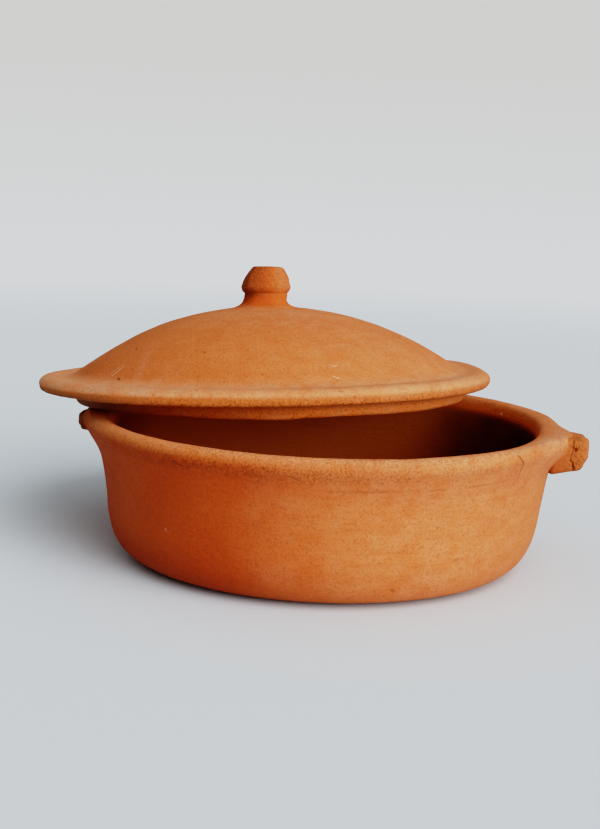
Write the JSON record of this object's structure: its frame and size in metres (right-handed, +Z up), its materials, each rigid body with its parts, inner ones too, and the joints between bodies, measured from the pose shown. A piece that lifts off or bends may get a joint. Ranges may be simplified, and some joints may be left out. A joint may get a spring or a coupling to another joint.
{
  "type": "covered casserole dish",
  "caption": "Round unglazed earthenware casserole with two stub lugs and a domed, flanged lid with a knob, lying askew on the rim and lifting off.",
  "frame": {"origin": "middle of the pot's flat base, on the surface the pot stands on", "axes": "+Z up, square to the base; +X along the line through the two lugs, towards the lug that is not under the lid"},
  "size_m": [0.3308, 0.3075, 0.1621],
  "materials": {
    "pot_clay": "unglazed, matt, fine sandy grain with throwing lines and pits",
    "lug_clay": "unglazed, rough torn clay",
    "lid_clay": "unglazed, matt, paler and dusty on the flange"
  },
  "bodies": {
    "pot": {"pot_body": "pot_clay", "handle_right": "lug_clay", "handle_left": "lug_clay"},
    "lid": {"lid_shell": "lid_clay", "lid_collar": "lid_clay", "lid_knob": "lid_clay"}
  },
  "joints": [
    {"name": "lid_lift", "type": "slide", "parent": "pot", "child": "lid", "axis": [0, 0, 1], "range_m": [0, 0.12]}
  ]
}
